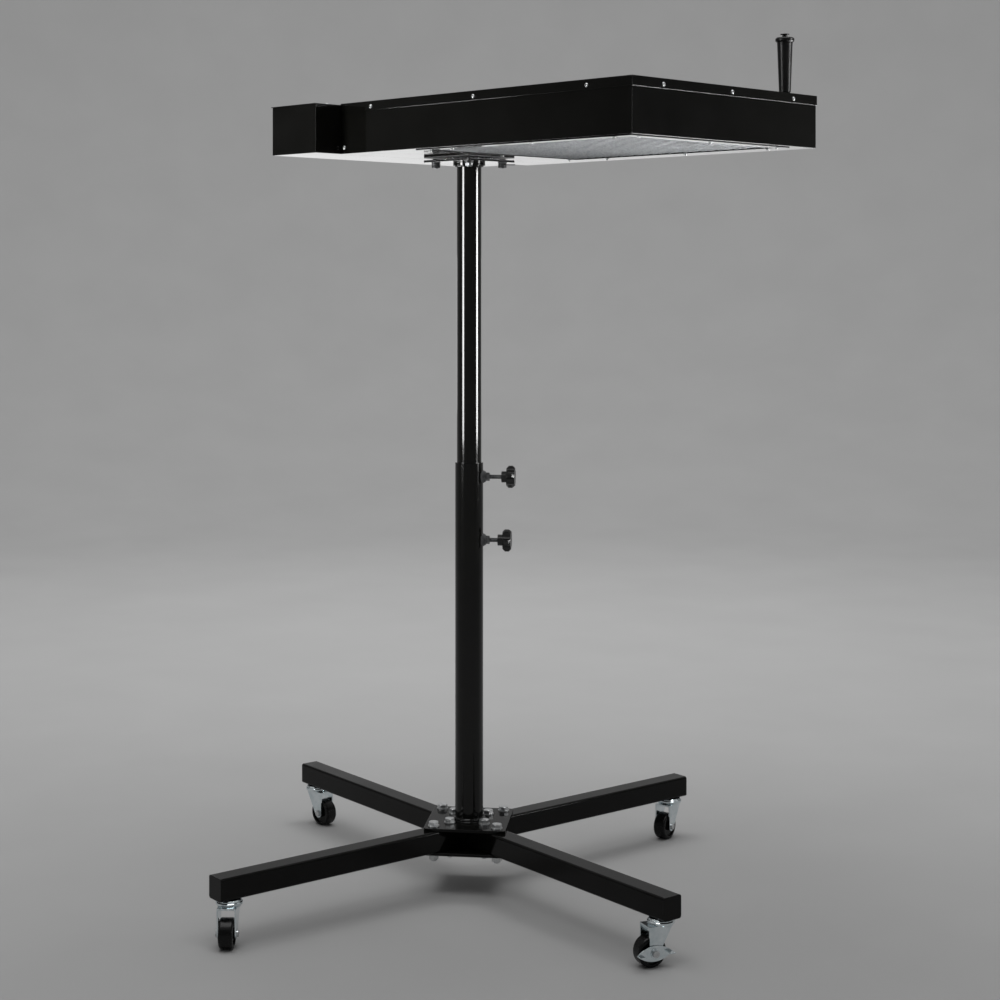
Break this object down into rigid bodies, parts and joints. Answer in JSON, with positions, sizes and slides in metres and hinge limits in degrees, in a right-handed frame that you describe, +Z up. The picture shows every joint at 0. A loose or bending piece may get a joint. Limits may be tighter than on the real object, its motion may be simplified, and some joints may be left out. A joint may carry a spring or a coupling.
{
  "type": "flash dryer",
  "caption": "Infrared flash dryer for screen printing: a flat heater head that swivels and slides on a telescoping mast, over a crossed base on swivel casters.",
  "frame": {"origin": "on the mast's axis, at the floor that the wheels stand on", "axes": "+X along the heater head from the control box to its free end, +Z up the mast"},
  "size_m": [1.0864, 1.0621, 1.511],
  "materials": {
    "base_paint": "gloss black powder coat",
    "mast_paint": "gloss black paint",
    "head_paint": "gloss black powder coat",
    "zinc": "bright zinc plate",
    "dark_zinc": "dull zinc plate",
    "caster_plating": "bright blue-grey zinc plate",
    "tread": "black rubber",
    "turntable_sheet": "black pressed sheet",
    "ball_steel": "polished steel",
    "knob_plastic": "black moulded plastic",
    "guard_wire": "bright galvanised wire",
    "reflector_sheet": "polished aluminium sheet",
    "insulation_wool": "ceramic wool board",
    "quartz": "milky quartz tube",
    "ceramic": "white steatite ceramic",
    "gland_plastic": "black nylon",
    "rocker_plastic": "red moulded plastic",
    "grip_plastic": "black moulded grip"
  },
  "bodies": {
    "base": {"hub_top_plate": "base_paint", "hub_bottom_plate": "base_paint", "arm_front_right": "base_paint", "arm_back_right": "base_paint", "arm_back_left": "base_paint", "arm_front_left": "base_paint", "arm_end_caps": "base_paint", "hub_bolts": "zinc", "hub_nuts": "zinc", "outer_tube": "mast_paint", "clamp_nuts": "dark_zinc", "caster_stems": "zinc", "caster_top_races": "caster_plating"},
    "caster_front_right": {"fork_front_right": "caster_plating", "axle_front_right": "zinc"},
    "caster_back_right": {"fork_back_right": "caster_plating", "axle_back_right": "zinc"},
    "caster_back_left": {"fork_back_left": "caster_plating", "axle_back_left": "zinc"},
    "caster_front_left": {"fork_front_left": "caster_plating", "axle_front_left": "zinc"},
    "roller_front_right": {"wheel_front_right": "tread"},
    "roller_back_right": {"wheel_back_right": "tread"},
    "roller_back_left": {"wheel_back_left": "tread"},
    "roller_front_left": {"wheel_front_left": "tread"},
    "brake": {"brake_pedal": "caster_plating"},
    "mast": {"inner_tube": "mast_paint", "mast_flange": "mast_paint", "turntable_lower": "turntable_sheet", "bearing_balls": "ball_steel", "flange_bolts": "dark_zinc", "corner_tab": "turntable_sheet", "swivel_bolt": "dark_zinc"},
    "upper_clamp_screw": {"upper_stud": "dark_zinc"},
    "upper_clamp_knob": {"upper_knob": "knob_plastic"},
    "lower_clamp_screw": {"lower_stud": "dark_zinc"},
    "lower_clamp_knob": {"lower_knob": "knob_plastic"},
    "head": {"turntable_upper": "turntable_sheet", "head_plate": "head_paint", "head_plate_bolts": "dark_zinc", "heater_housing": "head_paint", "top_cover": "head_paint", "cover_screws": "zinc", "guard_frame": "head_paint", "guard_mesh": "guard_wire", "guard_screws": "zinc", "reflector": "reflector_sheet", "insulation": "insulation_wool", "heater_tubes": "quartz", "ceramic_holders": "ceramic", "control_box": "head_paint", "control_cover": "head_paint", "terminal_block": "ceramic", "cable_gland": "gland_plastic", "switch_bezel": "knob_plastic", "handle_spindle": "head_paint"},
    "power_rocker": {"rocker": "rocker_plastic"},
    "control_dial": {"dial": "knob_plastic"},
    "grip": {"handle_grip": "grip_plastic"}
  },
  "joints": [
    {"name": "mast_slide", "type": "slide", "parent": "base", "child": "mast", "axis": [0, 0, 1], "range_m": [-0.42, 0.05]},
    {"name": "head_swivel", "type": "hinge", "parent": "mast", "child": "head", "pos_m": [0, 0, 1.311], "axis": [0, 0, 1], "continuous": true},
    {"name": "front_right_caster_swivel", "type": "hinge", "parent": "base", "child": "caster_front_right", "pos_m": [0.49638, -0.06007, 0.07], "axis": [0, 0, 1], "continuous": true},
    {"name": "front_right_wheel_spin", "type": "hinge", "parent": "caster_front_right", "child": "roller_front_right", "pos_m": [0.4892, -0.0798, 0.025], "axis": [0.9397, -0.342, 0], "continuous": true},
    {"name": "brake_pedal_rock", "type": "hinge", "parent": "caster_front_right", "child": "brake", "pos_m": [0.4892, -0.0798, 0.025], "axis": [0.9397, -0.342, 0], "range_deg": [0, 20]},
    {"name": "back_right_caster_swivel", "type": "hinge", "parent": "base", "child": "caster_back_right", "pos_m": [0.06007, 0.49638, 0.07], "axis": [0, 0, 1], "continuous": true},
    {"name": "back_right_wheel_spin", "type": "hinge", "parent": "caster_back_right", "child": "roller_back_right", "pos_m": [0.06371, 0.4757, 0.025], "axis": [0.9848, 0.1736, 0], "continuous": true},
    {"name": "back_left_caster_swivel", "type": "hinge", "parent": "base", "child": "caster_back_left", "pos_m": [-0.49638, 0.06007, 0.07], "axis": [0, 0, 1], "continuous": true},
    {"name": "back_left_wheel_spin", "type": "hinge", "parent": "caster_back_left", "child": "roller_back_left", "pos_m": [-0.47538, 0.06044, 0.025], "axis": [-0.0175, 0.9998, 0], "continuous": true},
    {"name": "front_left_caster_swivel", "type": "hinge", "parent": "base", "child": "caster_front_left", "pos_m": [-0.06007, -0.49638, 0.07], "axis": [0, 0, 1], "continuous": true},
    {"name": "front_left_wheel_spin", "type": "hinge", "parent": "caster_front_left", "child": "roller_front_left", "pos_m": [-0.04575, -0.51174, 0.025], "axis": [0.7314, 0.682, 0], "continuous": true},
    {"name": "upper_knob_turn", "type": "hinge", "parent": "upper_clamp_screw", "child": "upper_clamp_knob", "pos_m": [0.04709, 0.03719, 0.738], "axis": [0.7848, 0.6198, 0], "range_deg": [-1980, 1440]},
    {"name": "upper_stud_feed", "type": "slide", "parent": "base", "child": "upper_clamp_screw", "axis": [0.7848, 0.6198, 0], "range_m": [-0.00687, 0.00499]},
    {"name": "lower_knob_turn", "type": "hinge", "parent": "lower_clamp_screw", "child": "lower_clamp_knob", "pos_m": [0.04709, 0.03719, 0.624], "axis": [0.7848, 0.6198, 0], "range_deg": [0, 3600]},
    {"name": "lower_stud_feed", "type": "slide", "parent": "base", "child": "lower_clamp_screw", "axis": [0.7848, 0.6198, 0], "range_m": [0, 0.01249]},
    {"name": "power_rocker_tilt", "type": "hinge", "parent": "head", "child": "power_rocker", "pos_m": [-0.2365, -0.158, 1.359], "axis": [0, 0, 1], "range_deg": [0, 20]},
    {"name": "control_dial_turn", "type": "hinge", "parent": "head", "child": "control_dial", "pos_m": [-0.2395, -0.088, 1.359], "axis": [1, 0, 0], "range_deg": [0, 270]},
    {"name": "grip_spin", "type": "hinge", "parent": "head", "child": "grip", "pos_m": [0.522, 0.238, 1.46], "axis": [0, 0, 1], "continuous": true}
  ],
  "couplings": [
    {"joint": "upper_knob_turn", "follows": "upper_stud_feed", "rad_per_m": 5026.5},
    {"joint": "lower_knob_turn", "follows": "lower_stud_feed", "rad_per_m": 5026.5}
  ]
}
